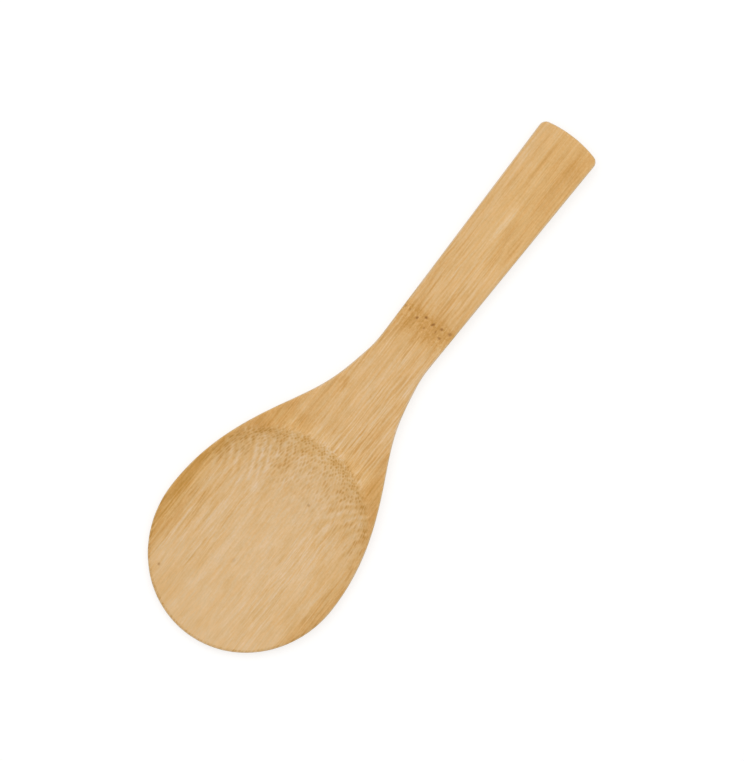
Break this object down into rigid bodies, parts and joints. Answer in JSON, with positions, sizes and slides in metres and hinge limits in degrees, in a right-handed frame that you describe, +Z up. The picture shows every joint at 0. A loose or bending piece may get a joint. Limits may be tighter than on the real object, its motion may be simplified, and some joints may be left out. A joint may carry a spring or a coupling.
{
  "type": "rice paddle",
  "caption": "Rice paddle carved from solid bamboo: a shallow dished blade with a round tip and a straight flat handle, for scooping and serving cooked rice.",
  "frame": {"origin": "middle of the length and width, on the plane that the paddle rests on when it lies on its back", "axes": "+Y along the paddle from the blade's tip to the end of the handle, +Z up out of the dish, +X across the blade"},
  "size_m": [0.0646, 0.2, 0.0072],
  "materials": {
    "bamboo": "satin"
  },
  "bodies": {
    "root": {"paddle": "bamboo"}
  },
  "joints": []
}
